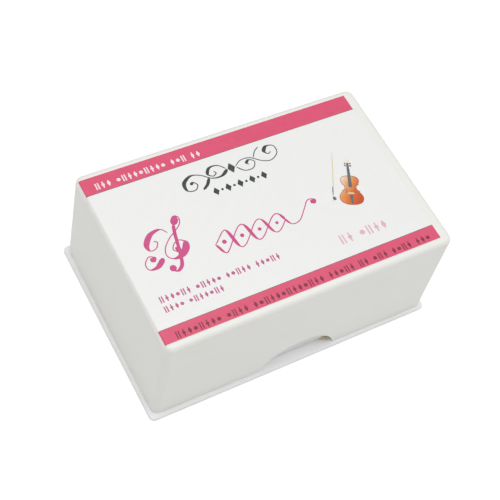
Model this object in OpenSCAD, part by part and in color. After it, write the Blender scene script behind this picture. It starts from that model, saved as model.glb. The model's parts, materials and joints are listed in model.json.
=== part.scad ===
// Boxed rosin cake: a moulded tray and lift-off lid, with the cake glued to its cloth inside.
// Millimetres. The origin is under the middle of the tray, +X runs along the long side
// and +Z is up. The thumb notch is in the -Y wall of the lid.

/* [Lid] */
// Outside length at the open end
lid_length = 60; // [50:0.5:80]
// Outside width at the open end
lid_width = 39.4; // [34:0.1:60]
// Height from the open end to the top
lid_height = 24; // [22:0.5:32]
// Thickness of the walls and the top
lid_wall = 1.2; // [0.8:0.1:1.3]
// Slope of the walls, in degrees from upright
lid_draft = 0.78; // [0.3:0.02:1.2]
// Radius of the upright corners
lid_corner = 1.6; // [1.4:0.1:3]
// Radius of the rounding round the top
lid_rounding = 1; // [0.4:0.1:1.2]

/* [Thumb notch] */
// Radius of the arc
notch_radius = 8.4; // [7:0.1:12]
// Height above the lid's open end
notch_height = 6.25; // [4:0.05:6.5]
// Distance of its middle from the lid's middle
notch_shift = 0.6; // [-4:0.1:4]

/* [Tray] */
// Thickness of the flange under the lid
flange_thickness = 0.8; // [0.6:0.1:1]
// How far the flange stands out past the lid
flange_overhang = 0.6; // [0.4:0.1:2]
// Radius of the flange's corners
flange_corner = 1.1; // [0.8:0.1:4]
// Height of the rim above the flange
rim_height = 7; // [5:0.5:9]
// Thickness of the rim
rim_wall = 0.9; // [0.8:0.1:1.3]
// Gap between the rim and the lid at the open end
rim_gap = 0.45; // [0.3:0.01:0.5]
// Thickness of the tray's floor
floor_thickness = 1; // [0.8:0.1:1.5]

/* [Rosin cake] */
// Length at its underside
cake_length = 50; // [38:0.5:52]
// Width at its underside
cake_width = 29; // [22:0.5:31]
// Height
cake_height = 15; // [10:0.5:15]
// Size of the bevel round its top and up its corners
cake_bevel = 1.4; // [0.5:0.1:3]
// How far each side leans in from the underside to the bevel
cake_lean = 0.7; // [0.2:0.1:1.5]

/* [Cloth and glue] */
// Thickness of the cloth
cloth_thickness = 1; // [0.6:0.1:1.1]
// Gap between the cloth and the tray's rim
cloth_gap = 0.3; // [0.3:0.1:1]
// How far the cloth turns in over the edge of the cake
cloth_turn = 7; // [3:0.5:9]
// Thickness of the glue under the cake
glue_thickness = 0.3; // [0.1:0.1:0.5]

/* [Label] */
// Length of the label
label_length = 56.6; // [40:0.1:57]
// Width of the label
label_width = 36; // [20:0.1:37]
// Thickness of the label
label_thickness = 0.1; // [0.06:0.01:0.2]
// Distance of its middle from the lid's middle, along the length
label_shift = -1; // [-1.2:0.1:1]

/* [Hidden] */

plastic_white = "#e9e9e6";
paper_white = "#f2f2f0";
rosin_amber = "#b5651d";
cloth_ochre = "#b98a3e";
glue_clear = "#e4dcc4";

thin = 0.01;                    // height of a hull's flat end, and how far a cut runs past a face
slope = tan(lid_draft);
lid_base = flange_thickness;    // the lid's open end rests on the flange
lid_top = lid_base + lid_height;

flange_length = lid_length + 2 * flange_overhang;
flange_width = lid_width + 2 * flange_overhang;
rim_length = lid_length - 2 * (lid_wall + rim_gap);
rim_width = lid_width - 2 * (lid_wall + rim_gap);
rim_corner = 0.8;
rim_top = flange_thickness + rim_height;

mark_radius = 2;                // ejector marks under the tray
mark_depth = 0.15;
mark_inset = 7;
gate_radius = 1.5;              // moulding gate in the middle of the underside
gate_depth = 0.3;

cloth_length = rim_length - 2 * (rim_wall + cloth_gap);
cloth_width = rim_width - 2 * (rim_wall + cloth_gap);
cloth_base = floor_thickness + 0.1;
cloth_corner = 2.5;
cake_base = cloth_base + cloth_thickness + glue_thickness;
cake_top = cake_base + cake_height;
cloth_top = cake_top + 0.2 + cloth_thickness;

// A plate with rounded corners, its underside at z = 0.
module plate(length, width, corner, height) {
    linear_extrude(height) union() {
        square([length - 2 * corner, width], center = true);
        square([length, width - 2 * corner], center = true);
        for (x = [-1, 1], y = [-1, 1])
            translate([x * (length / 2 - corner), y * (width / 2 - corner)])
                circle(corner, $fn = 48);
    }
}

// The lid's outer form, set in by inset all round and run down by drop below the open end.
module lid_form(inset, drop) {
    corner = max(lid_corner - inset, 0.4);
    rounding = min(max(lid_rounding - inset, 0.3), corner - thin);
    foot = drop * slope;
    head = (lid_height - inset - rounding) * slope;
    hull()
        for (x = [-1, 1], y = [-1, 1]) {
            translate([x * (lid_length / 2 - inset - corner + foot),
                       y * (lid_width / 2 - inset - corner + foot), lid_base - drop])
                cylinder(thin, corner, corner, $fn = 32);
            translate([x * (lid_length / 2 - inset - corner - head),
                       y * (lid_width / 2 - inset - corner - head), lid_top - inset - rounding])
                rotate_extrude($fn = 32)
                    translate([corner - rounding, 0])
                        intersection() {
                            circle(rounding, $fn = 32);
                            square(rounding);
                        }
        }
}

module base_tray() {
    color(plastic_white)
        difference() {
            union() {
                plate(flange_length, flange_width, flange_corner, flange_thickness);
                plate(rim_length, rim_width, rim_corner, rim_top);
            }
            translate([0, 0, floor_thickness])
                plate(rim_length - 2 * rim_wall, rim_width - 2 * rim_wall, rim_corner / 2, rim_top);
            translate([0, 0, -thin])
                cylinder(gate_depth + thin, gate_radius, gate_radius, $fn = 32);
            for (x = [-1, 1], y = [-1, 1])
                translate([x * (rim_length / 2 - mark_inset), y * (rim_width / 2 - mark_inset), -thin])
                    cylinder(mark_depth + thin, mark_radius, mark_radius, $fn = 32);
        }
}

module lid() {
    color(plastic_white)
        difference() {
            lid_form(0, 0);
            lid_form(lid_wall, 0.5);
            translate([notch_shift, lid_wall - lid_width / 2, lid_base + notch_height - notch_radius])
                rotate([90, 0, 0])
                    cylinder(4 * lid_wall, notch_radius, notch_radius, center = true, $fn = 96);
        }
}

// The label follows the lid's top and bends a little way down its rounded left edge.
module lid_label() {
    color(paper_white)
        difference() {
            intersection() {
                lid_form(-label_thickness, 0);
                translate([label_shift, 0, lid_top])
                    cube([label_length, label_width, 2 * lid_rounding], center = true);
            }
            lid_form(0, 1);
        }
}

// A long bar whose section is the cake's, seen from one side.
module cake_bar(width, length) {
    lean = width / 2 - cake_lean;
    rotate([90, 0, 0])
        linear_extrude(length, center = true)
            polygon([[-width / 2, 0], [width / 2, 0], [lean, cake_height - cake_bevel],
                     [lean - cake_bevel, cake_height], [cake_bevel - lean, cake_height],
                     [-lean, cake_height - cake_bevel]]);
}

module rosin_cake() {
    x = cake_length / 2;
    y = cake_width / 2;
    color(rosin_amber)
        translate([0, 0, cake_base])
            intersection() {
                cake_bar(cake_length, cake_width);
                rotate([0, 0, 90])
                    cake_bar(cake_width, cake_length);
                linear_extrude(cake_height)
                    polygon([[x, y - cake_bevel], [x - cake_bevel, y], [cake_bevel - x, y],
                             [-x, y - cake_bevel], [-x, cake_bevel - y], [cake_bevel - x, -y],
                             [x - cake_bevel, -y], [x, cake_bevel - y]]);
            }
}

module wrap_cloth() {
    color(cloth_ochre)
        difference() {
            translate([0, 0, cloth_base])
                plate(cloth_length, cloth_width, cloth_corner, cloth_top - cloth_base);
            translate([0, 0, cloth_base + cloth_thickness])
                plate(cloth_length - 2 * cloth_thickness, cloth_width - 2 * cloth_thickness,
                      cloth_corner - cloth_thickness, cloth_top - cloth_base - 2 * cloth_thickness);
            translate([0, 0, cake_top])
                plate(cloth_length - 2 * cloth_turn, cloth_width - 2 * cloth_turn,
                      cloth_corner, cloth_top);
        }
}

module glue_patch() {
    color(glue_clear)
        translate([0, 0, cloth_base + cloth_thickness])
            plate(0.8 * cake_length, 0.7 * cake_width, cloth_corner, glue_thickness);
}

base_tray();
lid();
lid_label();
rosin_cake();
wrap_cloth();
glue_patch();
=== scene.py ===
import json
import math
import random

import bmesh
import bpy
from mathutils import Matrix, Vector, noise

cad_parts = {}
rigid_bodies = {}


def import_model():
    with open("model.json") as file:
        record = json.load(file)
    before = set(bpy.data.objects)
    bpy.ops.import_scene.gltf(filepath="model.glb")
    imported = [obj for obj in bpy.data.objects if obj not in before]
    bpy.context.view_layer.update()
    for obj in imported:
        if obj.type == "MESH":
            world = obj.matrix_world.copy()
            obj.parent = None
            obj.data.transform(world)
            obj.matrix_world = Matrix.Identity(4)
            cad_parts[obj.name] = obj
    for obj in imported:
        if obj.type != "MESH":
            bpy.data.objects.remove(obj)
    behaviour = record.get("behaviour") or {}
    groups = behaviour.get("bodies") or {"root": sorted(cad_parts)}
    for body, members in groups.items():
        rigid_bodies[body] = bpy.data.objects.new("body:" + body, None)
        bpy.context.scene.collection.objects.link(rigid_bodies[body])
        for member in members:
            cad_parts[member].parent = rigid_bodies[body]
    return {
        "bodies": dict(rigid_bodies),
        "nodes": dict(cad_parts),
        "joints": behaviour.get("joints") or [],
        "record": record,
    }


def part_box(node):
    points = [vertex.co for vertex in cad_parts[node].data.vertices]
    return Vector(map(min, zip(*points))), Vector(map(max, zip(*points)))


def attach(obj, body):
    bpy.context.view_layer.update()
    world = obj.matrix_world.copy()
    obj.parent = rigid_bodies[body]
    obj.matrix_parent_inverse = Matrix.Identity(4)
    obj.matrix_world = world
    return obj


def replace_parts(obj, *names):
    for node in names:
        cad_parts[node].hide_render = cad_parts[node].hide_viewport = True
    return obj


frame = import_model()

# A boxed rosin cake: tray, lift-off lid with a printed label, and the cake glued to its cloth.
# Sizes in the dictionaries are millimetres, and everything built is in metres.

mm = 0.001
scene = bpy.context.scene
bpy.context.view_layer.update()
lidLow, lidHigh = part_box("lid")
trayLow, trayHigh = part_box("base_tray")
labelLow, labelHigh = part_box("lid_label")
cakeLow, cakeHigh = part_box("rosin_cake")
clothLow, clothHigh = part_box("wrap_cloth")
glueLow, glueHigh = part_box("glue_patch")


def hexColour(code):
    # sRGB hex to the linear values that shaders take
    parts = [int(code[i:i + 2], 16) / 255 for i in (1, 3, 5)]
    return [c / 12.92 if c <= 0.04045 else ((c + 0.055) / 1.055) ** 2.4 for c in parts] + [1]


def perSize(size):
    # texture scale that gives features of this size in millimetres
    return 1 / (size * mm)


def addNode(tree, kind, settings={}, values={}, links={}):
    node = tree.nodes.new(kind)
    for name, value in settings.items():
        setattr(node, name, value)
    for socket, value in values.items():
        node.inputs[socket].default_value = value
    for socket, source in links.items():
        tree.links.new(source, node.inputs[socket])
    return node


def newMaterial(name):
    material = bpy.data.materials.new(name)
    material.use_nodes = True
    material.node_tree.nodes.clear()
    return material, material.node_tree


def newPiece(name, mesh, material, body=None):
    piece = bpy.data.objects.new(name, mesh)
    scene.collection.objects.link(piece)
    piece.data.materials.append(material)
    if body:
        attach(piece, body)
    return piece


def meshFrom(name, points, faces, smooth=True):
    mesh = bpy.data.meshes.new(name)
    mesh.from_pydata([tuple(p) for p in points], [], faces)
    mesh.validate()
    mesh.polygons.foreach_set("use_smooth", [smooth] * len(mesh.polygons))
    mesh.update()
    return mesh


def ring(length, width, corner, z, steps=8):
    # a rounded rectangle, anticlockwise from its right front corner, in millimetres
    points = []
    for sx, sy, start in ((1, -1, -90), (1, 1, 0), (-1, 1, 90), (-1, -1, 180)):
        for i in range(steps + 1):
            a = math.radians(start + 90 * i / steps)
            x = sx * (length / 2 - corner) + corner * math.cos(a)
            y = sy * (width / 2 - corner) + corner * math.sin(a)
            points.append(Vector((x, y, z)) * mm)
    return points


def loft(name, rings, firstCap=True, lastCap=True):
    # a surface through rings of equal counts, closed with a flat cap at each end
    count = len(rings[0])
    faces = [list(range(count))[::-1]] if firstCap else []
    for k in range(len(rings) - 1):
        for i in range(count):
            j = (i + 1) % count
            faces.append([k * count + i, k * count + j, (k + 1) * count + j, (k + 1) * count + i])
    if lastCap:
        faces.append([(len(rings) - 1) * count + i for i in range(count)])
    return meshFrom(name, [p for r in rings for p in r], faces)


def arc(centreA, centreB, radius, start, end, steps):
    # points of an arc in a section, as (a, b) pairs, angles in degrees
    turns = [math.radians(start + (end - start) * i / steps) for i in range(steps + 1)]
    return [(centreA + radius * math.cos(t), centreB + radius * math.sin(t)) for t in turns]


def applied(piece):
    # the piece with its modifiers made part of its mesh
    graph = bpy.context.evaluated_depsgraph_get()
    mesh = bpy.data.meshes.new_from_object(piece.evaluated_get(graph))
    piece.modifiers.clear()
    piece.data = mesh


def cut(piece, cutters, edge):
    # takes the cutters out of the piece and rounds the edges that they leave
    for cutter in cutters:
        tool = piece.modifiers.new("cut", "BOOLEAN")
        tool.operation = "DIFFERENCE"
        tool.solver = "EXACT"
        tool.object = cutter
    if edge:
        rounding = piece.modifiers.new("rounding", "BEVEL")
        rounding.width = edge * mm
        rounding.segments = 3
        rounding.limit_method = "ANGLE"
        rounding.angle_limit = math.radians(40)
    applied(piece)
    for cutter in cutters:
        bpy.data.objects.remove(cutter)
    work = bmesh.new()       # joins the points that a cut leaves a hair apart
    work.from_mesh(piece.data)
    bmesh.ops.remove_doubles(work, verts=work.verts, dist=0.0005 * mm)
    work.to_mesh(piece.data)
    work.free()


seat = dict(
    shift=(-0.25, -0.22),    # a loose fit: the tray sits this far off the lid's middle
    turn=0.22,               # degrees
)


def seated(piece):
    turn = Matrix.Rotation(math.radians(seat["turn"]), 4, "Z")
    piece.data.transform(Matrix.Translation(Vector((*seat["shift"], 0)) * mm) @ turn)
    return piece


def prism(name, outline, start, end):
    # a cutter from an anticlockwise outline in X and Z, in millimetres, that runs along Y
    count = len(outline)
    points = [Vector((x, y, z)) * mm for y in (start, end) for x, z in outline]
    faces = [list(range(count)), [count + i for i in range(count)][::-1]]
    faces += [[i, count + i, count + (i + 1) % count, (i + 1) % count] for i in range(count)]
    cutter = bpy.data.objects.new(name, meshFrom(name, points, faces, smooth=False))
    scene.collection.objects.link(cutter)
    return cutter


def smoothed(piece, angle=35):
    piece.data.polygons.foreach_set("use_smooth", [True] * len(piece.data.polygons))
    piece.data.set_sharp_from_angle(angle=math.radians(angle))
    piece.modifiers.new("normals", "WEIGHTED_NORMAL").keep_sharp = True
    return piece


def rod(name, radius, length, place):
    # an upright round cutter, in millimetres
    work = bmesh.new()
    bmesh.ops.create_cone(work, cap_ends=True, segments=40, radius1=radius * mm,
                          radius2=radius * mm, depth=length * mm)
    bmesh.ops.translate(work, verts=work.verts, vec=Vector(place) * mm)
    mesh = bpy.data.meshes.new(name)
    work.to_mesh(mesh)
    work.free()
    cutter = bpy.data.objects.new(name, mesh)
    scene.collection.objects.link(cutter)
    return cutter


polystyrene = dict(
    grain=0.28,              # satin grain of the mould, drawn coarser than it is so that it shows
    wave=14,                 # long unevenness of a thin wall
)


def mouldedPolystyrene(name, tint="#f7f6f1", flow="#f3f2ec"):
    # high-impact polystyrene, injection moulded in a satin mould: soft, slightly uneven highlights
    material, tree = newMaterial(name)
    place = addNode(tree, "ShaderNodeTexCoord").outputs["Object"]
    streak = addNode(tree, "ShaderNodeTexNoise",
                     values={"Scale": perSize(9), "Detail": 3, "Distortion": 1.2},
                     links={"Vector": place})
    grain = addNode(tree, "ShaderNodeTexNoise",
                    values={"Scale": perSize(polystyrene["grain"]), "Detail": 2},
                    links={"Vector": place})
    wave = addNode(tree, "ShaderNodeTexNoise",
                   values={"Scale": perSize(polystyrene["wave"]), "Detail": 1},
                   links={"Vector": place})
    colour = addNode(tree, "ShaderNodeMix", {"data_type": "RGBA"},
                     {"A": hexColour(tint), "B": hexColour(flow)}, {"Factor": streak.outputs["Fac"]})
    rough = addNode(tree, "ShaderNodeMapRange",
                    values={"To Min": 0.37, "To Max": 0.49},
                    links={"Value": grain.outputs["Fac"]})
    longBump = addNode(tree, "ShaderNodeBump", values={"Strength": 0.35, "Distance": 0.25 * mm},
                       links={"Height": wave.outputs["Fac"]})
    fineBump = addNode(tree, "ShaderNodeBump", values={"Strength": 0.25, "Distance": 0.012 * mm},
                       links={"Height": grain.outputs["Fac"], "Normal": longBump.outputs["Normal"]})
    shader = addNode(tree, "ShaderNodeBsdfPrincipled",
                     values={"IOR": 1.59, "Subsurface Weight": 0.15, "Subsurface Scale": 1.2 * mm,
                             "Subsurface Radius": (1.0, 0.95, 0.85)},
                     links={"Base Color": colour.outputs["Result"], "Roughness": rough.outputs["Result"],
                            "Normal": fineBump.outputs["Normal"]})
    addNode(tree, "ShaderNodeOutputMaterial", links={"Surface": shader.outputs["BSDF"]})
    return material


def coatedPaper(name, ink, mottle, blend=0.5):
    # clay-coated label stock, offset printed: a close sheen, with ink that lies a little unevenly;
    # the paper's fibres are drawn coarser than they are so that they show
    material, tree = newMaterial(name)
    place = addNode(tree, "ShaderNodeTexCoord").outputs["Object"]
    spread = addNode(tree, "ShaderNodeTexNoise",
                     values={"Scale": perSize(1.6), "Detail": 5, "Roughness": 0.65},
                     links={"Vector": place})
    fibre = addNode(tree, "ShaderNodeTexNoise", values={"Scale": perSize(0.22), "Detail": 3},
                    links={"Vector": place})
    level = addNode(tree, "ShaderNodeMapRange",
                    values={"From Min": 0.3, "From Max": 0.7, "To Max": blend},
                    links={"Value": spread.outputs["Fac"]})
    colour = addNode(tree, "ShaderNodeMix", {"data_type": "RGBA"},
                     {"A": hexColour(ink), "B": hexColour(mottle)}, {"Factor": level.outputs["Result"]})
    rough = addNode(tree, "ShaderNodeMapRange",
                    values={"To Min": 0.31, "To Max": 0.42},
                    links={"Value": spread.outputs["Fac"]})
    bump = addNode(tree, "ShaderNodeBump", values={"Strength": 0.2, "Distance": 0.01 * mm},
                   links={"Height": fibre.outputs["Fac"]})
    shader = addNode(tree, "ShaderNodeBsdfPrincipled", values={"IOR": 1.5},
                     links={"Base Color": colour.outputs["Result"], "Roughness": rough.outputs["Result"],
                            "Normal": bump.outputs["Normal"]})
    addNode(tree, "ShaderNodeOutputMaterial", links={"Surface": shader.outputs["BSDF"]})
    return material


def printedVarnish(name):
    # four-colour print of a varnished violin: orange red, paling to straw at the upper left
    material, tree = newMaterial(name)
    place = addNode(tree, "ShaderNodeTexCoord").outputs["Object"]
    spread = addNode(tree, "ShaderNodeTexNoise", values={"Scale": perSize(0.9), "Detail": 4},
                     links={"Vector": place})
    parts = addNode(tree, "ShaderNodeSeparateXYZ", links={"Vector": place})
    across = addNode(tree, "ShaderNodeMath", {"operation": "MULTIPLY"}, {1: -0.8},
                     {0: parts.outputs["X"]})
    slant = addNode(tree, "ShaderNodeMath", {"operation": "ADD"},
                    links={0: across.outputs["Value"], 1: parts.outputs["Y"]})
    uneven = addNode(tree, "ShaderNodeMath", {"operation": "MULTIPLY_ADD"}, {1: 1.6 * mm},
                     {0: spread.outputs["Fac"], 2: slant.outputs["Value"]})
    pale = addNode(tree, "ShaderNodeMapRange",
                   values={"From Min": -18.0 * mm, "From Max": -11.4 * mm},
                   links={"Value": uneven.outputs["Value"]})
    ramp = addNode(tree, "ShaderNodeValToRGB", links={"Fac": pale.outputs["Result"]})
    stops = ramp.color_ramp.elements
    stops[0].color = hexColour("#cf5128")
    stops[1].color = hexColour("#f5ecdc")
    for position, code in ((0.35, "#e0702f"), (0.65, "#eba562")):
        stops.new(position).color = hexColour(code)
    shader = addNode(tree, "ShaderNodeBsdfPrincipled", values={"IOR": 1.5, "Roughness": 0.34},
                     links={"Base Color": ramp.outputs["Color"]})
    addNode(tree, "ShaderNodeOutputMaterial", links={"Surface": shader.outputs["BSDF"]})
    return material


def castRosin(name):
    # colophony poured as a melt: clear honey glass, with dust on the skin and fine bubbles inside
    material, tree = newMaterial(name)
    place = addNode(tree, "ShaderNodeTexCoord").outputs["Object"]
    swirl = addNode(tree, "ShaderNodeTexNoise",
                    values={"Scale": perSize(7), "Detail": 4, "Distortion": 1.5},
                    links={"Vector": place})
    dust = addNode(tree, "ShaderNodeTexNoise",
                   values={"Scale": perSize(1.1), "Detail": 8, "Roughness": 0.7},
                   links={"Vector": place})
    ripple = addNode(tree, "ShaderNodeTexNoise", values={"Scale": perSize(5), "Detail": 2},
                     links={"Vector": place})
    bubble = addNode(tree, "ShaderNodeTexVoronoi",
                     values={"Scale": perSize(1.8)}, links={"Vector": place})
    pit = addNode(tree, "ShaderNodeMapRange", values={"From Min": 0.05, "From Max": 0.16},
                  links={"Value": bubble.outputs["Distance"]})
    colour = addNode(tree, "ShaderNodeMix", {"data_type": "RGBA"},
                     {"A": hexColour("#f0a241"), "B": hexColour("#d97d22")},
                     {"Factor": swirl.outputs["Fac"]})
    bloom = addNode(tree, "ShaderNodeMapRange",
                    values={"From Min": 0.48, "From Max": 0.72, "To Min": 0.07, "To Max": 0.37},
                    links={"Value": dust.outputs["Fac"]})
    longBump = addNode(tree, "ShaderNodeBump", values={"Strength": 0.4, "Distance": 0.2 * mm},
                       links={"Height": ripple.outputs["Fac"]})
    bump = addNode(tree, "ShaderNodeBump", values={"Strength": 0.5, "Distance": 0.06 * mm},
                   links={"Height": pit.outputs["Result"], "Normal": longBump.outputs["Normal"]})
    shader = addNode(tree, "ShaderNodeBsdfPrincipled",
                     values={"IOR": 1.53, "Transmission Weight": 0.68, "Subsurface Weight": 0.4,
                             "Subsurface Scale": 4 * mm, "Subsurface Radius": (1.0, 0.45, 0.12)},
                     links={"Base Color": colour.outputs["Result"], "Roughness": bloom.outputs["Result"],
                            "Normal": bump.outputs["Normal"]})
    depth = addNode(tree, "ShaderNodeVolumeAbsorption",
                    values={"Color": hexColour("#f4a638"), "Density": 38})
    addNode(tree, "ShaderNodeOutputMaterial",
            links={"Surface": shader.outputs["BSDF"], "Volume": depth.outputs["Volume"]})
    return material


def pressedRosinDust(name):
    # crushed rosin: the grains scatter light, so it's a dull honey colour, paler where it is finest
    material, tree = newMaterial(name)
    place = addNode(tree, "ShaderNodeTexCoord").outputs["Object"]
    grain = addNode(tree, "ShaderNodeTexNoise",
                    values={"Scale": perSize(0.35), "Detail": 6, "Roughness": 0.7},
                    links={"Vector": place})
    level = addNode(tree, "ShaderNodeMapRange", values={"From Min": 0.35, "From Max": 0.65},
                    links={"Value": grain.outputs["Fac"]})
    colour = addNode(tree, "ShaderNodeMix", {"data_type": "RGBA"},
                     {"A": hexColour("#d0b274"), "B": hexColour("#efe1b9")},
                     {"Factor": level.outputs["Result"]})
    bump = addNode(tree, "ShaderNodeBump", values={"Strength": 0.6, "Distance": 0.08 * mm},
                   links={"Height": grain.outputs["Fac"]})
    shader = addNode(tree, "ShaderNodeBsdfPrincipled",
                     values={"IOR": 1.53, "Roughness": 0.7, "Subsurface Weight": 0.4,
                             "Subsurface Scale": 0.5 * mm},
                     links={"Base Color": colour.outputs["Result"], "Normal": bump.outputs["Normal"]})
    addNode(tree, "ShaderNodeOutputMaterial", links={"Surface": shader.outputs["BSDF"]})
    return material


def flannelette(name):
    # brushed cotton: the weave is half hidden by a short fuzzy nap that catches side light
    material, tree = newMaterial(name)
    weave = addNode(tree, "ShaderNodeTexCoord").outputs["UV"]
    place = addNode(tree, "ShaderNodeTexCoord").outputs["Object"]
    repeat = 0.314           # this texture repeats every 2 pi / 20 at scale 1
    threads = [addNode(tree, "ShaderNodeTexWave", {"bands_direction": side},
                       {"Scale": repeat * perSize(wrap["thread"]), "Distortion": 1.5, "Detail": 2,
                        "Detail Scale": 3}, {"Vector": weave}) for side in ("X", "Y")]
    cross = addNode(tree, "ShaderNodeMath", {"operation": "MAXIMUM"},
                    links={0: threads[0].outputs["Fac"], 1: threads[1].outputs["Fac"]})
    nap = addNode(tree, "ShaderNodeTexNoise",
                  values={"Scale": perSize(0.4), "Detail": 6, "Roughness": 0.75},
                  links={"Vector": place})
    patch = addNode(tree, "ShaderNodeTexNoise", values={"Scale": perSize(6), "Detail": 3},
                    links={"Vector": place})
    height = addNode(tree, "ShaderNodeMath", {"operation": "MULTIPLY_ADD"}, {1: 0.45},
                     {0: cross.outputs["Value"], 2: nap.outputs["Fac"]})
    tone = addNode(tree, "ShaderNodeMath", {"operation": "MULTIPLY_ADD"}, {1: 0.5},
                   {0: patch.outputs["Fac"], 2: nap.outputs["Fac"]})
    level = addNode(tree, "ShaderNodeMapRange", values={"From Min": 0.45, "From Max": 1.0},
                    links={"Value": tone.outputs["Value"]})
    colour = addNode(tree, "ShaderNodeMix", {"data_type": "RGBA"},
                     {"A": hexColour("#a57d40"), "B": hexColour("#d9b67c")},
                     {"Factor": level.outputs["Result"]})
    bump = addNode(tree, "ShaderNodeBump", values={"Strength": 0.7, "Distance": 0.15 * mm},
                   links={"Height": height.outputs["Value"]})
    shader = addNode(tree, "ShaderNodeBsdfPrincipled",
                     values={"Roughness": 0.95, "Specular IOR Level": 0.2, "Sheen Weight": 0.45,
                             "Sheen Roughness": 0.4, "Sheen Tint": hexColour("#f3ddb0")},
                     links={"Base Color": colour.outputs["Result"], "Normal": bump.outputs["Normal"]})
    addNode(tree, "ShaderNodeOutputMaterial", links={"Surface": shader.outputs["BSDF"]})
    return material


def driedGlue(name):
    # hide glue dried in a thin pool: clouded straw, wrinkled where it shrank
    material, tree = newMaterial(name)
    place = addNode(tree, "ShaderNodeTexCoord").outputs["Object"]
    wrinkle = addNode(tree, "ShaderNodeTexNoise",
                      values={"Scale": perSize(2.2), "Detail": 5, "Distortion": 2},
                      links={"Vector": place})
    colour = addNode(tree, "ShaderNodeMix", {"data_type": "RGBA"},
                     {"A": hexColour("#e6c27a"), "B": hexColour("#cf9a48")},
                     {"Factor": wrinkle.outputs["Fac"]})
    rough = addNode(tree, "ShaderNodeMapRange", values={"To Min": 0.15, "To Max": 0.4},
                    links={"Value": wrinkle.outputs["Fac"]})
    bump = addNode(tree, "ShaderNodeBump", values={"Strength": 0.5, "Distance": 0.1 * mm},
                   links={"Height": wrinkle.outputs["Fac"]})
    shader = addNode(tree, "ShaderNodeBsdfPrincipled",
                     values={"IOR": 1.5, "Subsurface Weight": 0.3, "Subsurface Scale": 1 * mm},
                     links={"Base Color": colour.outputs["Result"], "Roughness": rough.outputs["Result"],
                            "Normal": bump.outputs["Normal"]})
    addNode(tree, "ShaderNodeOutputMaterial", links={"Surface": shader.outputs["BSDF"]})
    return material


studio = dict(
    cameraPlace=(-83.40, -91.60, 196.07),
    cameraTurn=(32.574, -9.069, -28.100),   # degrees about X, Y and Z
    lens=83.43,
    skyStrength=0.2,
    keyStrength=2.28,
    keyAngle=70,             # degrees across: a large softbox
    keyTurn=(3, -0.5, 0),
    fills=[((190, -150, 90), 0.03), ((-150, 150, 120), 0.022)],   # place and watts of each soft side light
    fillSize=(160, 90),
    floorGlow=0.46,
    floorRadius=1500,
)


def lightStudio():
    camera = bpy.data.objects.new("camera", bpy.data.cameras.new("camera"))
    camera.data.lens = studio["lens"]
    camera.data.sensor_width = 36
    camera.data.clip_start = 0.005
    camera.location = Vector(studio["cameraPlace"]) * mm
    camera.rotation_euler = [math.radians(a) for a in studio["cameraTurn"]]
    scene.collection.objects.link(camera)
    scene.camera = camera
    scene.view_settings.view_transform = "Standard"

    world = bpy.data.worlds.new("softbox sky")
    world.use_nodes = True
    world.node_tree.nodes.clear()
    seen = addNode(world.node_tree, "ShaderNodeLightPath").outputs["Is Camera Ray"]
    dim = addNode(world.node_tree, "ShaderNodeBackground",
                  values={"Color": hexColour("#f6f8fa"), "Strength": studio["skyStrength"]})
    white = addNode(world.node_tree, "ShaderNodeBackground",
                    values={"Color": hexColour("#ffffff"), "Strength": 1})
    both = addNode(world.node_tree, "ShaderNodeMixShader",
                   links={0: seen, 1: dim.outputs["Background"], 2: white.outputs["Background"]})
    addNode(world.node_tree, "ShaderNodeOutputWorld", links={"Surface": both.outputs["Shader"]})
    scene.world = world

    key = bpy.data.objects.new("overhead key", bpy.data.lights.new("overhead key", "SUN"))
    key.data.energy = studio["keyStrength"]
    key.data.angle = math.radians(studio["keyAngle"])
    key.rotation_euler = [math.radians(a) for a in studio["keyTurn"]]
    scene.collection.objects.link(key)

    for place, power in studio["fills"]:
        fill = bpy.data.objects.new("side fill", bpy.data.lights.new("side fill", "AREA"))
        fill.data.energy = power
        fill.data.shape = "RECTANGLE"
        fill.data.size, fill.data.size_y = [side * mm for side in studio["fillSize"]]
        fill.location = Vector(place) * mm
        fill.rotation_euler = (-fill.location).to_track_quat("-Z", "Y").to_euler()
        scene.collection.objects.link(fill)


def makeFloor():
    # matt white acrylic sheet, lit a little from below as on a product table
    material, tree = newMaterial("mattWhiteAcrylic")
    place = addNode(tree, "ShaderNodeTexCoord").outputs["Object"]
    speckle = addNode(tree, "ShaderNodeTexNoise", values={"Scale": perSize(2), "Detail": 4},
                      links={"Vector": place})
    colour = addNode(tree, "ShaderNodeMix", {"data_type": "RGBA"},
                     {"A": hexColour("#b8b8b8"), "B": hexColour("#b4b4b4")},
                     {"Factor": speckle.outputs["Fac"]})
    seen = addNode(tree, "ShaderNodeLightPath").outputs["Is Camera Ray"]
    glow = addNode(tree, "ShaderNodeMapRange",
                   values={"To Min": studio["floorGlow"], "To Max": studio["floorGlow"] + 0.2},
                   links={"Value": seen})
    shader = addNode(tree, "ShaderNodeBsdfPrincipled",
                     values={"Roughness": 0.75, "Emission Color": hexColour("#ffffff")},
                     links={"Base Color": colour.outputs["Result"],
                            "Emission Strength": glow.outputs["Result"]})
    addNode(tree, "ShaderNodeOutputMaterial", links={"Surface": shader.outputs["BSDF"]})
    edge = [Vector((a, b, 0)) * mm for a, b in arc(0, 0, studio["floorRadius"], 0, 360, 96)[:-1]]
    mesh = meshFrom("floor", edge, [list(range(len(edge)))])
    floor = newPiece("floor", mesh, material)
    floor.location.z = trayLow.z - 0.02 * mm


lightStudio()
makeFloor()
print("studio ready")


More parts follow.
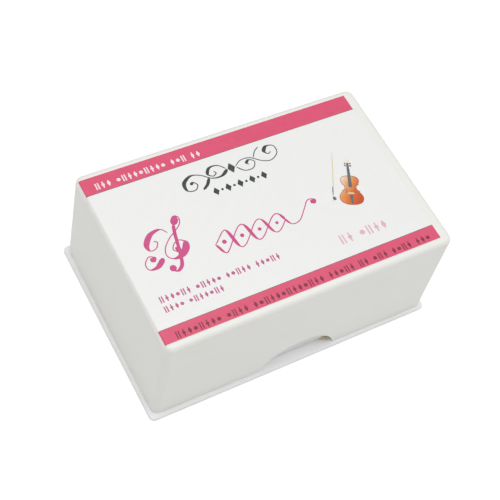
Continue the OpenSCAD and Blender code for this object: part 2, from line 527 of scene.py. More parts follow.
tray = dict(
    edge=0.3,                # rounding of the flange's edge
    foot=0.2,                # fillet where the rim meets the flange, clear of the lid's open edge
    lip=0.3,                 # rounding of the rim's top
    flangeCorner=1.1,
    rimCorner=0.8,
    rimGap=1.65,             # from the lid's outside to the rim: wall and clearance
    rimWall=0.9,
    flangeTop=0.8,
    floorTop=1.0,
    floorFillet=0.25,        # where the rim meets the floor, inside
    marks=[(x, y, 2.0, 0.15) for x in (-21.35, 21.35) for y in (-11.05, 11.05)] + [(0, 0, 1.5, 0.3)],
)


def buildTray():
    size = (trayHigh - trayLow) / mm
    lid = (lidHigh - lidLow) / mm
    rimLength = lid.x - 2 * tray["rimGap"]
    rimWidth = lid.y - 2 * tray["rimGap"]
    innerLength = rimLength - 2 * tray["rimWall"]
    innerWidth = rimWidth - 2 * tray["rimWall"]
    corner, edge, lip, foot = tray["flangeCorner"], tray["edge"], tray["lip"], tray["foot"]
    fillet = tray["floorFillet"]

    def around(length, width, cornerRadius, section):
        # rings for a section given as (inset from that outline, height)
        return [ring(length - 2 * a, width - 2 * a, max(cornerRadius - a, 0.15), b) for a, b in section]

    rings = around(size.x, size.y, corner, arc(edge, edge, edge, 270, 180, 4))
    rings += around(size.x, size.y, corner, arc(edge, tray["flangeTop"] - edge, edge, 180, 90, 4))
    rings += around(rimLength, rimWidth, tray["rimCorner"],
                    arc(-foot, tray["flangeTop"] + foot, foot, 270, 360, 4))
    rings += around(rimLength, rimWidth, tray["rimCorner"], arc(lip, size.z - lip, lip, 180, 90, 4))
    rings += around(innerLength, innerWidth, tray["rimCorner"] / 2, arc(-lip, size.z - lip, lip, 90, 0, 4))
    rings += around(innerLength, innerWidth, tray["rimCorner"] / 2,
                    arc(fillet, tray["floorTop"] + fillet, fillet, 180, 270, 3))
    piece = newPiece("trayMoulding", loft("trayMoulding", rings), polystyreneTray, "tray")
    marks = [rod("mark", r, 2 * depth, (x, y, 0)) for x, y, r, depth in tray["marks"]]
    cut(piece, marks, 0)
    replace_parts(smoothed(seated(piece)), "base_tray")


polystyreneTray = mouldedPolystyrene("polystyreneTray", "#f5f4f4", flow="#f1f0f1")
buildTray()
print("tray built")


lidShell = dict(
    wall=1.2,
    draft=0.78,              # degrees
    corner=1.6,
    rounding=1.0,            # round the top, outside
    innerCorner=0.4,
    innerRounding=0.38,
    rim=0.09,                # rounding of the open edge
    notchRadius=8.4,
    notchHeight=6.25,
    notchShift=0.6,
    notchFlare=1.2,          # rounding where the notch meets the open end
    notchEdge=0.2,
)


def lidOutline(height, inset):
    # length, width and corner of the lid's outside at a height above its open end
    length = (lidHigh.x - lidLow.x) / mm - 2 * inset
    width = (lidHigh.y - lidLow.y) / mm - 2 * inset
    lean = 2 * height * math.tan(math.radians(lidShell["draft"]))
    return length - lean, width - lean


def notchOutline(base):
    # an arc that flares into the lid's open end through a small reversed arc on each side
    middle, radius, flare = lidShell["notchShift"], lidShell["notchRadius"], lidShell["notchFlare"]
    centre = base + lidShell["notchHeight"] - radius
    flareUp = base + flare - 0.02
    flareOut = math.sqrt((radius + flare) ** 2 - (flareUp - centre) ** 2)
    tilt = math.degrees(math.atan2(flareUp - centre, flareOut))
    right = arc(middle + flareOut, flareUp, flare, 270, 180 + tilt, 7)
    crown = arc(middle, centre, radius, tilt, 180 - tilt, 60)
    left = arc(middle - flareOut, flareUp, flare, -tilt, -90, 7)
    return [(right[0][0], base - 2)] + right + crown[1:-1] + left + [(left[-1][0], base - 2)]


def buildLid():
    base = lidLow.z / mm
    height = (lidHigh.z - lidLow.z) / mm
    wall, rim, top = lidShell["wall"], lidShell["rim"], lidShell["rounding"]
    inner = lidShell["innerRounding"]
    rings = []

    def add(inset, up, cornerRadius):
        length, width = lidOutline(up, inset)
        rings.append(ring(length, width, max(cornerRadius, 0.02), base + up))

    # from the middle of the inside top, down the inside, round the open edge and up the outside
    for a, b in arc(wall + inner, height - wall - inner, inner, 90, 180, 4):
        add(a, b, lidShell["innerCorner"] + wall - a)
    for a, b in arc(wall - rim, rim, rim, 0, -90, 3):
        add(a, b, lidShell["innerCorner"] + wall - a)
    for a, b in arc(rim, rim, rim, 270, 180, 3):
        add(a, b, lidShell["corner"] - a)
    for a, b in arc(top, height - top, top, 180, 90, 8):
        add(a, b, lidShell["corner"] - a)
    piece = newPiece("lidMoulding", loft("lidMoulding", rings), polystyreneLid, "lid")
    frontY = lidLow.y / mm
    notch = prism("notch", notchOutline(base), frontY - wall, frontY + 3 * wall)
    cut(piece, [notch], lidShell["notchEdge"])
    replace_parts(smoothed(piece), "lid")


polystyreneLid = mouldedPolystyrene("polystyreneLid")
buildLid()
print("lid built")


label = dict(
    paper=0.1,
    ink=0.012,               # how proud the print stands
    sunk=0.004,              # how far it reaches into the paper
    trim=0.03,               # the print stops this far short of the paper's edge
    backBand=3.6,
    frontBand=2.85,
    keyline=0.12,            # dark line along each band's inner edge
    frontSlant=0.25,         # the front band runs this much askew
)


def lidTopAt(x, y):
    # height of the lid's top surface, down over its rounded edges, in millimetres
    r = lidShell["rounding"]
    length, width = lidOutline((lidHigh.z - lidLow.z) / mm - r, 0)
    over = min(max(abs(x) - (length / 2 - r), abs(y) - (width / 2 - r), 0), r)
    return lidHigh.z / mm - r + math.sqrt(r * r - over * over)


def printSurface(x, y, lift):
    return Vector((x, y, lidTopAt(x, y) + label["paper"] + lift)) * mm


def steps(low, high, count):
    return [low + (high - low) * i / count for i in range(count + 1)]


def patchOf(xs, rows, top, thickness):
    # a thin closed sheet over a grid; rows are functions that give y for an x
    points = []
    for lift in (top, top - thickness):
        points += [printSurface(x, row(x), lift) for row in rows for x in xs]
    across, down = len(xs), len(rows)
    under = across * down
    faces = []
    for j in range(down - 1):
        for i in range(across - 1):
            a = j * across + i
            faces.append([a, a + 1, a + across + 1, a + across])
            faces.append([under + a + across, under + a + across + 1, under + a + 1, under + a])
    border = [i for i in range(across)] + [j * across + across - 1 for j in range(1, down)]
    border += [(down - 1) * across + i for i in range(across - 2, -1, -1)]
    border += [j * across for j in range(down - 2, 0, -1)]
    for k, a in enumerate(border):
        b = border[(k + 1) % len(border)]
        faces.append([a, under + a, under + b, b])
    return points, faces


def joined(parts):
    points, faces = [], []
    for p, f in parts:
        faces += [[i + len(points) for i in face] for face in f]
        points += p
    return points, faces


def inkPiece(name, parts, material):
    points, faces = joined(parts)
    return newPiece(name, meshFrom(name, points, faces, smooth=False), material, "lid")


def buildLabel():
    low, high = labelLow / mm, labelHigh / mm
    left, right, front, back = low.x + 0.02, high.x, low.y, high.y
    xs = steps(left, -28.2, 8) + steps(-27, right, 20)
    rows = [lambda x, y=y: y for y in steps(front, back, 18)]
    points, faces = patchOf(xs, rows, 0, label["paper"] - 0.005)
    mesh = meshFrom("labelPaper", points, faces, smooth=False)
    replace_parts(newPiece("labelPaper", mesh, labelStock, "lid"), "lid_label")

    def askew(x):
        return front + label["frontBand"] + label["frontSlant"] * ((x - left) / (right - left) - 0.5)

    inked = xs[:-1] + [right - label["trim"]]
    ink = label["ink"]
    rows = [lambda x, y=y: y for y in steps(back - label["backBand"], back - label["trim"], 3)]
    bandBack = patchOf(inked, rows, ink, ink)
    bandFront = patchOf(inked, [lambda x: front + label["trim"], askew], ink, ink)
    inkPiece("pinkBands", [bandBack, bandFront], inkPink)
    line = label["keyline"]
    lineBack = [lambda x: back - label["backBand"] - line, lambda x: back - label["backBand"]]
    lineFront = [askew, lambda x: askew(x) + line]
    inkPiece("bandKeylines", [patchOf(inked, rows, ink, ink) for rows in (lineBack, lineFront)], inkBrown)


labelStock = coatedPaper("labelStock", "#f7f7f5", "#f3f3f1")
inkPink = coatedPaper("inkPink", "#e45276", "#e65b7b", 0.8)
inkMagenta = coatedPaper("inkMagenta", "#cf4787", "#d9588f", 0.8)
inkDark = coatedPaper("inkDark", "#2f3b36", "#465049", 0.8)
inkBrown = coatedPaper("inkBrown", "#8c5a55", "#a0716a", 0.8)
inkWhite = coatedPaper("inkWhite", "#fbeff3", "#f7e0e8", 0.8)
inkMaroon = coatedPaper("inkMaroon", "#7e2438", "#903549", 0.8)
inkBlush = coatedPaper("inkBlush", "#e6b3bd", "#edc6cd", 0.8)
inkMauve = coatedPaper("inkMauve", "#c4568c", "#cf6c9a", 0.8)
buildLabel()
print("label built")


def smoothLine(points, perSpan=14, closed=False):
    # a Catmull-Rom line through the points
    count = len(points)
    pick = (lambda i: points[i % count]) if closed else (lambda i: points[min(max(i, 0), count - 1)])
    line = []
    for i in range(count if closed else count - 1):
        p0, p1, p2, p3 = (Vector(pick(k)) for k in (i - 1, i, i + 1, i + 2))
        for s in range(perSpan):
            t = s / perSpan
            line.append(0.5 * (2 * p1 + (p2 - p0) * t + (2 * p0 - 5 * p1 + 4 * p2 - p3) * t * t
                               + (3 * p1 - p0 - 3 * p2 + p3) * t ** 3))
    return line if closed else line + [Vector(points[-1])]


def penStroke(line, thin, thick, slant=35, taper=6, base=0.0):
    # a pointed-pen stroke: thick where the pen is pulled down its slant, hairline elsewhere;
    # it rises a little along the way, so that it lies over itself where it crosses
    rise = 0.008
    pull = Vector((-math.sin(math.radians(slant)), -math.cos(math.radians(slant))))
    count = len(line)
    tops, lows = [], []
    for i, p in enumerate(line):
        way = (line[min(i + 1, count - 1)] - line[max(i - 1, 0)]).normalized()
        press = max(0.0, way.dot(pull)) ** 2.2
        ends = min(1.0, (i + 1) / taper, (count - i) / taper)
        half = (thin + (thick - thin) * press) * (0.35 + 0.65 * ends) / 2
        side = Vector((-way.y, way.x)) * half
        lift = label["ink"] + base + rise * i / count
        for q in (p + side, p - side):
            tops.append(printSurface(q.x, q.y, lift))
            lows.append(printSurface(q.x, q.y, -label["sunk"]))
    under = len(tops)
    faces = []
    for i in range(count - 1):
        a = 2 * i
        faces += [[a, a + 1, a + 3, a + 2], [under + a, under + a + 2, under + a + 3, under + a + 1],
                  [a, a + 2, under + a + 2, under + a], [a + 1, under + a + 1, under + a + 3, a + 3]]
    last = 2 * (count - 1)
    faces += [[0, under, under + 1, 1], [last, last + 1, under + last + 1, under + last]]
    return tops + lows, faces


def flatShape(outline, lift=0.0):
    # a printed shape from its closed outline, anticlockwise
    count = len(outline)
    tops = [printSurface(p[0], p[1], label["ink"] + lift) for p in outline]
    lows = [printSurface(p[0], p[1], -label["sunk"]) for p in outline]
    faces = [list(range(count)), [count + i for i in range(count)][::-1]]
    faces += [[i, count + i, count + (i + 1) % count, (i + 1) % count] for i in range(count)]
    return tops + lows, faces


def dot(x, y, radius, lift=0.0, stretch=1.0, sides=24):
    turns = [2 * math.pi * i / sides for i in range(sides)]
    return flatShape([(x + radius * math.cos(t), y + radius * stretch * math.sin(t)) for t in turns], lift)


def lozenge(x, y, width, height, lift=0.0):
    a, b = width / 2, height / 2
    return flatShape([(x + a, y), (x, y + b), (x - a, y), (x, y - b)], lift)


def bar(x, y, width, height, lift=0.0):
    a, b = width / 2, height / 2
    return flatShape([(x - a, y - b), (x + a, y - b), (x + a, y + b), (x - a, y + b)], lift)


flourish = dict(
    hairline=0.2,
    swell=1.35,              # widest part of the large strokes
    smallSwell=1.15,
    slant=36,
    lean=21,                 # degrees that the ornament leans to the right
    clef=(-18.6, -1.1, 1.2),     # place and size of the treble clef
    wings=(-19.0, -1.1, 1.05),   # and of the two wings beside it
    braid=(-12.4, -3.5, 1),      # and of the braid, from its left end
    braidLength=14.4,
    braidHalf=2.45,          # half its width
    eyes=4,                  # openings along the braid
)


def leaning(points, x, y, size):
    # a small drawing put at x, y in millimetres, leaning to the right
    slope = math.tan(math.radians(flourish["lean"]))
    return [Vector((x + size * (u + slope * v), y + size * v)) for u, v in points]


def magentaFlourish():
    # a treble clef with two wings, then a braid of two strands that ends in a sweep
    thin, thick, slant = flourish["hairline"], flourish["swell"], flourish["slant"]
    bowl = [(0.15, -0.35), (-0.3, -0.75), (-0.85, -0.3), (-0.6, 0.55), (0.2, 0.85), (1.1, 0.3), (1.2, -0.75),
            (0.45, -1.65), (-0.8, -1.8), (-1.9, -1.0), (-2.05, 0.3), (-1.3, 1.6), (-0.1, 2.6), (0.6, 3.5),
            (0.5, 4.5), (0.0, 4.6), (-0.45, 3.6)]
    stem = [(-0.45, 3.6), (-0.35, 2.2), (0.0, 0.0), (0.3, -2.2), (0.25, -3.3), (-0.4, -3.85), (-1.2, -3.5)]
    upper = [(-1.3, 3.0), (-2.7, 4.1), (-4.5, 3.7), (-5.3, 2.1), (-4.7, 0.8), (-3.6, 0.9), (-3.3, 1.9),
             (-4.0, 2.3)]
    lower = [(-2.5, -1.3), (-3.6, -2.5), (-5.1, -2.5), (-5.8, -1.3), (-5.2, -0.2), (-4.3, -0.5),
             (-4.5, -1.3)]
    # the sweep goes on from the braid's end
    sweep = [(1.3, -1.3), (2.9, -1.1), (4.1, 0.7), (5.0, 2.2), (6.2, 2.1), (6.1, 1.2)]
    clef, wings, braid = flourish["clef"], flourish["wings"], flourish["braid"]
    parts = [penStroke(smoothLine(leaning(bowl, *clef)), thin, thick, slant, base=0.01),
             penStroke(smoothLine(leaning(stem, *clef)), thin * 1.5, thick * 0.5, slant, base=0.03)]
    parts += [penStroke(smoothLine(leaning(w, *wings)), thin, thick * 0.8, slant) for w in (upper, lower)]
    parts.append(dot(*leaning([(-1.15, -3.2)], *clef)[0], 0.62, 0.06))
    span, eyes, half = flourish["braidLength"], flourish["eyes"], flourish["braidHalf"]
    count = 60 * eyes
    for way in (1, -1):
        strand = []
        for t in [i / count for i in range(count + 1)]:
            up = way * half * (1 - 0.3 * t) * math.sin(math.pi * eyes * t) * min(1, 0.4 + 4 * t)
            strand += leaning([(span * t, up)], *braid)
        if way > 0:
            tail = leaning([(span + u, v) for u, v in sweep], *braid)
            strand += smoothLine([strand[-1]] + tail)[1:]
        parts.append(penStroke(strand, thin, flourish["smallSwell"], slant, base=0.03 * (way < 0)))
    for k in range(eyes):
        middle = leaning([(span * (k + 0.5) / eyes, 0)], *braid)[0]
        parts.append(dot(*middle, 0.42 - 0.04 * k, 0.05))
    return parts


def darkOrnament():
    # a book ornament: two mirrored scrolls that meet at a lozenge
    middle = Vector((-1.9, 10.5))
    parts = []
    outer = [(0.9, 0.0), (2.4, 0.95), (4.4, 0.8), (6.2, -0.6), (8.0, -1.1), (9.8, 0.0),
             (9.9, 1.7), (8.5, 2.1), (7.6, 1.2), (8.1, 0.4), (8.8, 0.7)]
    inner = [(1.0, -0.2), (2.2, -1.45), (3.9, -1.5), (4.8, -0.3), (4.0, 0.45), (3.2, 0.0), (3.5, -0.5)]
    leaf = [(5.0, 0.6), (5.9, 1.8), (7.0, 2.5)]
    for way in (1, -1):
        for line, swell in ((outer, 0.75), (inner, 0.6), (leaf, 0.6)):
            placed = [middle + Vector((way * x, way * y)) for x, y in line]
            parts.append(penStroke(smoothLine(placed), 0.18, swell, 30, base=0.006 * len(parts)))
    parts += [lozenge(middle.x, middle.y, 1.5, 2.3, 0.05)]
    parts += [lozenge(middle.x + 2.5 * k, 6.8, 1.25, 1.8) for k in (-2, -1, 0, 1, 2)]
    parts += [dot(middle.x + 2.5 * (k + 0.5), 6.8, 0.25) for k in (-2, -1, 0, 1)]
    return parts


def beadRow(left, right, middle, height, groups, weight=0.24, lift=0.0):
    # bead-and-reel rule: reels, beads and lozenges in groups of a few
    parts = []
    pitch = height * 0.8
    x, order = left + pitch / 2, 0
    for size in groups:
        for k in range(size):
            if x > right:
                return parts
            kind = (order * 5 + k * 3) % 4
            if kind == 0:
                parts += [bar(x + s * height * 0.17, middle, weight, height, lift) for s in (-1, 1)]
            elif kind == 1:
                parts.append(dot(x, middle, height * 0.27, lift, sides=14))
            elif kind == 2:
                parts.append(lozenge(x, middle, height * 0.5, height, lift))
            else:
                parts.append(bar(x, middle, weight, height, lift))
                parts.append(dot(x, middle, height * 0.22, lift + 0.004, sides=12))
            x += pitch
        x += pitch * 0.7
        order += 1
    return parts


def violinPrint():
    # a small picture of a violin, leaning to the right, drawn along its own axis
    foot, head = Vector((15.5, -5.35)), Vector((19.75, 4.1))
    axis = (head - foot).normalized()
    side = Vector((axis.y, -axis.x))
    whole = (head - foot).length

    def at(along, across):
        p = foot + axis * (along * whole) + side * (across * whole)
        return (p.x, p.y)

    half = [(0.0, 0.0), (0.01, 0.1), (0.06, 0.19), (0.15, 0.22), (0.235, 0.19), (0.275, 0.155),
            (0.29, 0.165), (0.3, 0.15), (0.335, 0.115), (0.385, 0.105), (0.43, 0.13), (0.445, 0.155),
            (0.465, 0.15), (0.5, 0.165), (0.56, 0.165), (0.61, 0.12), (0.63, 0.04)]   # one side of the body
    outline = [at(a, b) for a, b in half] + [at(a, -b) for a, b in half[::-1][:-1]]
    body = [tuple(p) for p in smoothLine(outline, 5, closed=True)]
    scroll = [(0.93, 0.03), (0.99, 0.038), (1.01, 0.0), (0.99, -0.038), (0.93, -0.03), (0.87, 0.0)]
    scroll = [tuple(p) for p in smoothLine([at(a, b) for a, b in scroll], 5, closed=True)]
    inkPiece("violinVarnishPrint", [flatShape(body), flatShape(scroll, 0.006)], inkVarnish)

    def strip(low, high, lowHalf, highHalf, lift):
        corners = ((low, lowHalf), (high, highHalf), (high, -highHalf), (low, -lowHalf))
        return flatShape([at(a, b) for a, b in corners], lift)

    dark = [strip(0.38, 0.92, 0.034, 0.022, 0.012), strip(0.02, 0.21, 0.014, 0.034, 0.012)]
    for across in (-0.05, 0.05):
        dark += [dot(*at(0.86, across), 0.19, 0.012), dot(*at(0.91, across * 0.95), 0.17, 0.012)]
    for way in (1, -1):
        hole = ((0.245, 0.105), (0.27, 0.085), (0.31, 0.082), (0.35, 0.06))
        hole = [Vector(at(a, way * b)) for a, b in hole]
        dark.append(penStroke(smoothLine(hole, 5), 0.12, 0.16, base=0.012))
    rim = [Vector(p) for p in body + body[:1]]
    inkPiece("violinEdgePrint", [penStroke(rim, 0.11, 0.11, base=0.008, taper=1)], inkBrick)
    inkPiece("violinFittingsPrint", dark, inkSlate)
    stick = [Vector((12.3, -3.5)), Vector((14.2, -0.2)), Vector((16.05, 3.2)), Vector((17.8, 6.55))]
    bridge = [strip(0.235, 0.264, 0.064, 0.05, 0.02)]
    inkPiece("bowStickPrint", [penStroke(smoothLine(stick, 8), 0.2, 0.2)] + bridge, inkStraw)
    grip = [Vector((13.1, -2.05)), Vector((13.98, -0.4))]
    frog = [dot(12.98, -2.85, 0.32, 0.014, 1.3)]
    inkPiece("bowGripPrint", [penStroke(smoothLine(grip, 6), 0.26, 0.3, base=0.01)] + frog, inkSlate)


inkSlate = coatedPaper("inkSlate", "#59626b", "#777b7e", 0.8)
inkStraw = coatedPaper("inkStraw", "#ddd59c", "#e9e2b8", 0.8)
inkBrick = coatedPaper("inkBrick", "#b0492c", "#c4673f", 0.8)
inkVarnish = printedVarnish("inkVarnish")
overBand = label["ink"] * 1.5
inkPiece("magentaFlourish", magentaFlourish(), inkMagenta)
inkPiece("darkOrnament", darkOrnament(), inkDark)
inkPiece("whiteRule", beadRow(-27.1, -5.6, 15.7, 1.4, (3, 9, 3, 4), 0.26, overBand), inkWhite)
inkPiece("mauveRules", beadRow(-26.6, 0.6, -9.85, 1.3, (6, 5, 5, 5), 0.24)
         + beadRow(-26.6, -15.2, -11.85, 1.25, (4, 7), 0.24), inkMauve)
inkPiece("blushRule", beadRow(9.0, 19.4, -11.3, 1.95, (2, 4), 0.3), inkBlush)
inkPiece("maroonRule", beadRow(-27.0, 25.0, -17.0, 1.4, (8, 4, 13, 5, 2, 3, 4, 3), 0.22, overBand),
         inkMaroon)
violinPrint()
print("label printed")


cake = dict(
    bevel=1.4,
    lean=0.7,                # each side leans in this much up to the bevel
    soft=0.25,               # rounding of the cast edges
    dish=0.25,               # the poured top sinks this much in the middle
    chips=9,
    chipSize=(0.5, 1.3),
    seed=11,
)


def buildCake():
    size = (cakeHigh - cakeLow) / mm
    base, bevel, lean, soft = cakeLow.z / mm, cake["bevel"], cake["lean"], cake["soft"]
    rings = []
    for a, b in arc(soft, soft, soft, 270, 180, 3):
        rings.append(ring(size.x - 2 * a, size.y - 2 * a, bevel + 0.4 - a, base + b, 6))
    for k in range(1, 6):
        up = soft + (size.z - bevel - 2 * soft) * k / 5
        inset = lean * up / (size.z - bevel)
        rings.append(ring(size.x - 2 * inset, size.y - 2 * inset, bevel + 0.4, base + up, 6))
    shoulder = base + size.z - bevel
    for a, b in ((0.03, -0.12), (0.12, 0.06), (bevel * 0.5, bevel * 0.5), (bevel - 0.1, bevel - 0.12),
                 (bevel + 0.15, bevel)):
        inset = lean + a
        rings.append(ring(size.x - 2 * inset, size.y - 2 * inset, bevel + 0.4 - a * 0.5, shoulder + b, 6))
    for share in (0.85, 0.65, 0.45, 0.25, 0.08):
        # the poured surface, dished by shrinkage
        length = (size.x - 2 * (lean + bevel)) * share
        width = (size.y - 2 * (lean + bevel)) * share
        rings.append(ring(length, width, 1.4 * share, base + size.z - cake["dish"] * (1 - share ** 3), 6))
    piece = newPiece("rosinCake", loft("rosinCake", rings), amberRosin, "cake")
    dice = random.Random(cake["seed"])
    scoops = []
    for k in range(cake["chips"]):
        onLong = dice.random() < 0.65
        along = dice.uniform(-0.44, 0.44)
        way = dice.choice((-1, 1))
        x = along * size.x if onLong else way * (size.x / 2 - lean - bevel * 0.4)
        y = way * (size.y / 2 - lean - bevel * 0.4) if onLong else along * size.y
        radius = dice.uniform(*cake["chipSize"])
        work = bmesh.new()
        bmesh.ops.create_icosphere(work, subdivisions=3, radius=radius * mm)
        for v in work.verts:
            v.co *= 1 + 0.12 * noise.noise(v.co / mm * 1.3 + Vector((k, 0, 0)))
        lift = radius * 0.45 + dice.uniform(0, 0.2)
        place = Vector((x, y, base + size.z - bevel * 0.4 + lift)) * mm
        bmesh.ops.translate(work, verts=work.verts, vec=place)
        mesh = bpy.data.meshes.new("scoop")
        work.to_mesh(mesh)
        work.free()
        scoop = bpy.data.objects.new("scoop", mesh)
        scene.collection.objects.link(scoop)
        scoops.append(scoop)
    cut(piece, scoops, 0)
    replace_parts(smoothed(seated(piece), 28), "rosin_cake")


amberRosin = castRosin("amberRosin")
buildCake()
print("cake cast")


# rosin crumbs on the flange in the notch's right corner, put there as painted warm shade: they give that
# shadowed corner its brown tint
crumbsAsShade = dict(
    # x, y, half length, half width, half height and turn of each crumb
    places=[(7.6, -18.6, 1.0, 0.34, 0.26, -32), (6.65, -18.25, 0.7, 0.26, 0.22, -18),
            (8.1, -18.95, 0.3, 0.18, 0.12, 20), (5.8, -18.2, 0.4, 0.16, 0.15, 8)],
    seed=5,
)


def buildCrumbsAsShade():
    dice = random.Random(crumbsAsShade["seed"])
    work = bmesh.new()
    floorZ = tray["flangeTop"]
    for x, y, halfLength, halfWidth, halfHeight, turn in crumbsAsShade["places"]:
        made = []
        for k in range(26):
            direction = Vector([dice.gauss(0, 1) for axis in range(3)]).normalized()
            direction *= Vector((halfLength, halfWidth, halfHeight))
            direction *= dice.uniform(0.8, 1.0)
            place = Matrix.Rotation(math.radians(turn), 3, "Z") @ direction
            made.append(work.verts.new((place + Vector((x, y, floorZ + halfHeight * 0.9))) * mm))
        hull = bmesh.ops.convex_hull(work, input=made)
        spare = [v for v in hull["geom_interior"] if isinstance(v, bmesh.types.BMVert)]
        bmesh.ops.delete(work, geom=spare, context="VERTS")
    mesh = bpy.data.meshes.new("rosinCrumbsAsShade")
    work.to_mesh(mesh)
    work.free()
    # the crumbs are painted shade for the notch's corner as well as loose rosin
    newPiece("rosinCrumbsAsShade", mesh, rosinDustAsShade, "tray")


rosinDustAsShade = pressedRosinDust("rosinDustAsShade")
buildCrumbsAsShade()
print("crumbs placed")


wrap = dict(
    flatLength=98.0,         # the sheet as cut
    flatWidth=78.0,
    spacing=1.6,
    thickness=0.5,
    thread=0.6,              # thread spacing, drawn coarser than it is so that it shows
    tooth=0.6,               # depth of the pinked edge
    gluedLength=40.0,        # the part stuck under the cake
    gluedWidth=20.0,
    wellLength=54.7,         # the room it is folded into
    wellWidth=34.1,
    tableEdge=90,            # the table round its mouth is this much larger
    roofReach=13,            # the closing roof slopes over this much of each side
    roofSlope=26,            # degrees
    scale=10,                # the fold is simulated this much larger
)


def wellRings(low, high):
    # from a table round the mouth, over its rounded edge and down to the floor
    length, width = wrap["wellLength"], wrap["wellWidth"]
    corner, mouth, foot = 1.2, 3, 0.8
    rings = [ring(length + wrap["tableEdge"], width + wrap["tableEdge"], corner, high, 4),
             ring(length + 2 * mouth, width + 2 * mouth, corner + mouth, high, 4)]
    for a, b in arc(mouth, high - mouth, mouth, 90, 180, 5)[1:]:
        rings.append(ring(length + 2 * a, width + 2 * a, corner + a, b, 4))
    for k in range(1, 7):
        rings.append(ring(length, width, corner, high - mouth - (high - mouth - low - foot) * k / 6, 4))
    for a, b in arc(foot, foot, foot, 180, 270, 3)[1:]:
        rings.append(ring(length - 2 * a, width - 2 * a, corner, low + b, 4))
    return rings


def flatSheet():
    # the cloth as cut, with a pinked edge; its flat coordinates become the weave's UV map
    across = round(wrap["flatLength"] / wrap["spacing"] / 2) * 2
    down = round(wrap["flatWidth"] / wrap["spacing"] / 2) * 2
    points = []
    for j in range(down + 1):
        for i in range(across + 1):
            x = (i / across - 0.5) * wrap["flatLength"]
            y = (j / down - 0.5) * wrap["flatWidth"]
            if i in (0, across) and j % 2:
                x -= math.copysign(wrap["tooth"], x)
            if j in (0, down) and i % 2:
                y -= math.copysign(wrap["tooth"], y)
            points.append(Vector((x, y, 0)) * mm)
    corners = [j * (across + 1) + i for j in range(down) for i in range(across)]
    faces = [[a, a + 1, a + across + 2, a + across + 1] for a in corners]
    mesh = meshFrom("wrapCloth", points, faces)
    weave = mesh.uv_layers.new(name="weave")
    for loop in mesh.loops:
        weave.data[loop.index].uv = mesh.vertices[loop.vertex_index].co.xy
    return mesh


def collider(name, rings, grip, **caps):
    piece = bpy.data.objects.new(name, loft(name, rings, **caps))
    scene.collection.objects.link(piece)
    piece.scale = [wrap["scale"]] * 3
    piece.modifiers.new("solid", "COLLISION")
    piece.collision.thickness_outer = 0.002
    piece.collision.cloth_friction = grip
    return piece


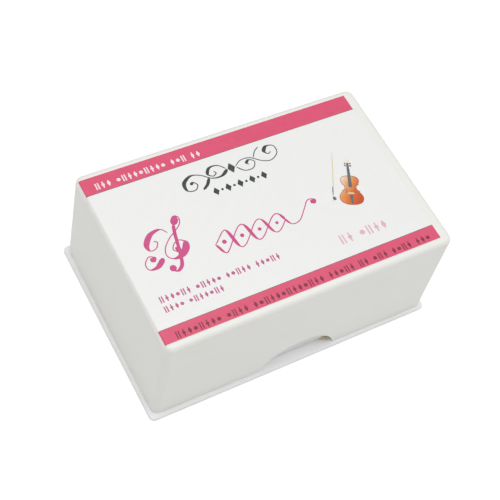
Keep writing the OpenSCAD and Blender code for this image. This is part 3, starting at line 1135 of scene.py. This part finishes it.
def foldCloth(piece):
    # the glued middle goes down a deep well under the cake, so that the sides stand up round it,
    # then a sloping roof comes down and turns the edges in
    scale = wrap["scale"]
    base, top = clothLow.z / mm, cakeHigh.z / mm
    high = base + 30
    above, clear = 0.9, 0.45     # how far the sheet's middle is over the table at first, and over the floor
    size = (cakeHigh - cakeLow) / mm
    well = collider("well", wellRings(base - 0.35, high), 2, firstCap=False)
    block = [ring(size.x - 1.4 - 2 * a, size.y - 1.4 - 2 * a, 1.6, cakeLow.z / mm + b, 4)
             for a, b in ((0.4, 0), (0, 0.4), (0.3, size.z - 1.6), (1.2, size.z - 0.2))]
    cakeBlock = collider("cakeBlock", block, 4)
    slope, reach = math.tan(math.radians(wrap["roofSlope"])), wrap["roofReach"]
    length, width = wrap["wellLength"] + 8, wrap["wellWidth"] + 8
    roofRings = [ring(length - 2 * a, width - 2 * a, 1.2, b, 4) for a, b in ((reach, reach * slope), (0, 0))]
    roof = collider("roof", roofRings, 2, lastCap=False)
    mesh = piece.data
    for v in mesh.vertices:
        wobble = noise.noise(v.co / mm * 0.06 + Vector((3, 1, 0)))
        v.co.z = (high + above + 0.5 * wobble) * mm
    mesh.transform(Matrix.Scale(scale, 4))
    glued = piece.vertex_groups.new(name="glued")
    piece.shape_key_add(name="flat", from_mix=False)
    lowered = piece.shape_key_add(name="lowered", from_mix=False)
    stuckX, stuckY = wrap["gluedLength"] / 2 * mm * scale, wrap["gluedWidth"] / 2 * mm * scale
    for v in mesh.vertices:
        if abs(v.co.x) < stuckX and abs(v.co.y) < stuckY:
            glued.add([v.index], 1, "REPLACE")
        lowered.data[v.index].co.z = (base + clear) * mm * scale
    first, down, shut, last = 1, 46, 84, 104
    travel = high + above - base - clear
    for frame, share in ((first, 0), (down, 1)):
        lowered.value = share
        lowered.keyframe_insert("value", frame=frame)
        cakeBlock.location.z = travel * (1 - share) * mm * scale
        cakeBlock.keyframe_insert("location", frame=frame)
    for frame, lift in ((first, 26), (down + 6, 16), (shut, 0), (last - 12, 0), (last, 0.5)):
        roof.location.z = (top + 1.3 - 4 * slope + lift) * mm * scale
        roof.keyframe_insert("location", frame=frame)
    sim = piece.modifiers.new("cloth", "CLOTH")
    fabric = sim.settings
    fabric.quality = 9
    fabric.mass = 0.04
    fabric.tension_stiffness = 60
    fabric.compression_stiffness = 60
    fabric.shear_stiffness = 12
    fabric.bending_stiffness = 4
    fabric.bending_damping = 0.5
    fabric.air_damping = 2
    fabric.vertex_group_mass = "glued"
    touch = sim.collision_settings
    touch.collision_quality = 3
    touch.distance_min = 0.003
    touch.use_self_collision = True
    touch.self_distance_min = 0.004
    touch.self_friction = 4
    sim.point_cache.frame_start = first
    sim.point_cache.frame_end = last
    scene.frame_start, scene.frame_end = first, last
    for frame in range(first, last + 1):
        scene.frame_set(frame)
    graph = bpy.context.evaluated_depsgraph_get()
    settled = bpy.data.meshes.new_from_object(piece.evaluated_get(graph))
    piece.modifiers.clear()
    piece.shape_key_clear()
    piece.data = settled
    settled.transform(Matrix.Scale(1 / scale, 4))
    for helper in (well, cakeBlock, roof):
        bpy.data.objects.remove(helper)
    for action in list(bpy.data.actions):
        bpy.data.actions.remove(action)
    scene.frame_set(1)


def buildCloth():
    piece = newPiece("wrapCloth", flatSheet(), flannelette("brushedCotton"))
    foldCloth(piece)
    smooth = piece.modifiers.new("smooth", "SUBSURF")
    smooth.levels = smooth.render_levels = 1
    thick = piece.modifiers.new("thick", "SOLIDIFY")
    thick.thickness = wrap["thickness"] * mm
    thick.offset = 0
    applied(piece)
    seated(piece)
    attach(piece, "cake")
    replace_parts(piece, "wrap_cloth")


buildCloth()
print("cloth folded")


glue = dict(
    ragged=0.7,              # how far the edge of the pool wanders
    dome=0.06,               # how much its edge thins out
)


def buildGlue():
    # glue pressed flat between the cake and the cloth, with a wandering edge
    size = (glueHigh - glueLow) / mm
    rings = []
    half = [(0.5, 0), (0.05, glue["dome"]), (0, size.z / 2)]
    for inset, height in half + [(a, size.z - b) for a, b in half[1::-1]]:
        points = ring(size.x - 2 * inset, size.y - 2 * inset, 3.5, glueLow.z / mm + height, 14)
        for p in points:
            wander = 0.5 + 0.5 * noise.noise(Vector((p.x, p.y, 0)) / mm * 0.22)
            shrink = 1 - 2 * glue["ragged"] * wander / size.y
            p.x *= shrink
            p.y *= shrink
        rings.append(points)
    piece = newPiece("gluePool", loft("gluePool", rings), driedGlue("driedGlue"), "cake")
    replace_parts(smoothed(seated(piece)), "glue_patch")


buildGlue()
print("glue laid")


print("done")
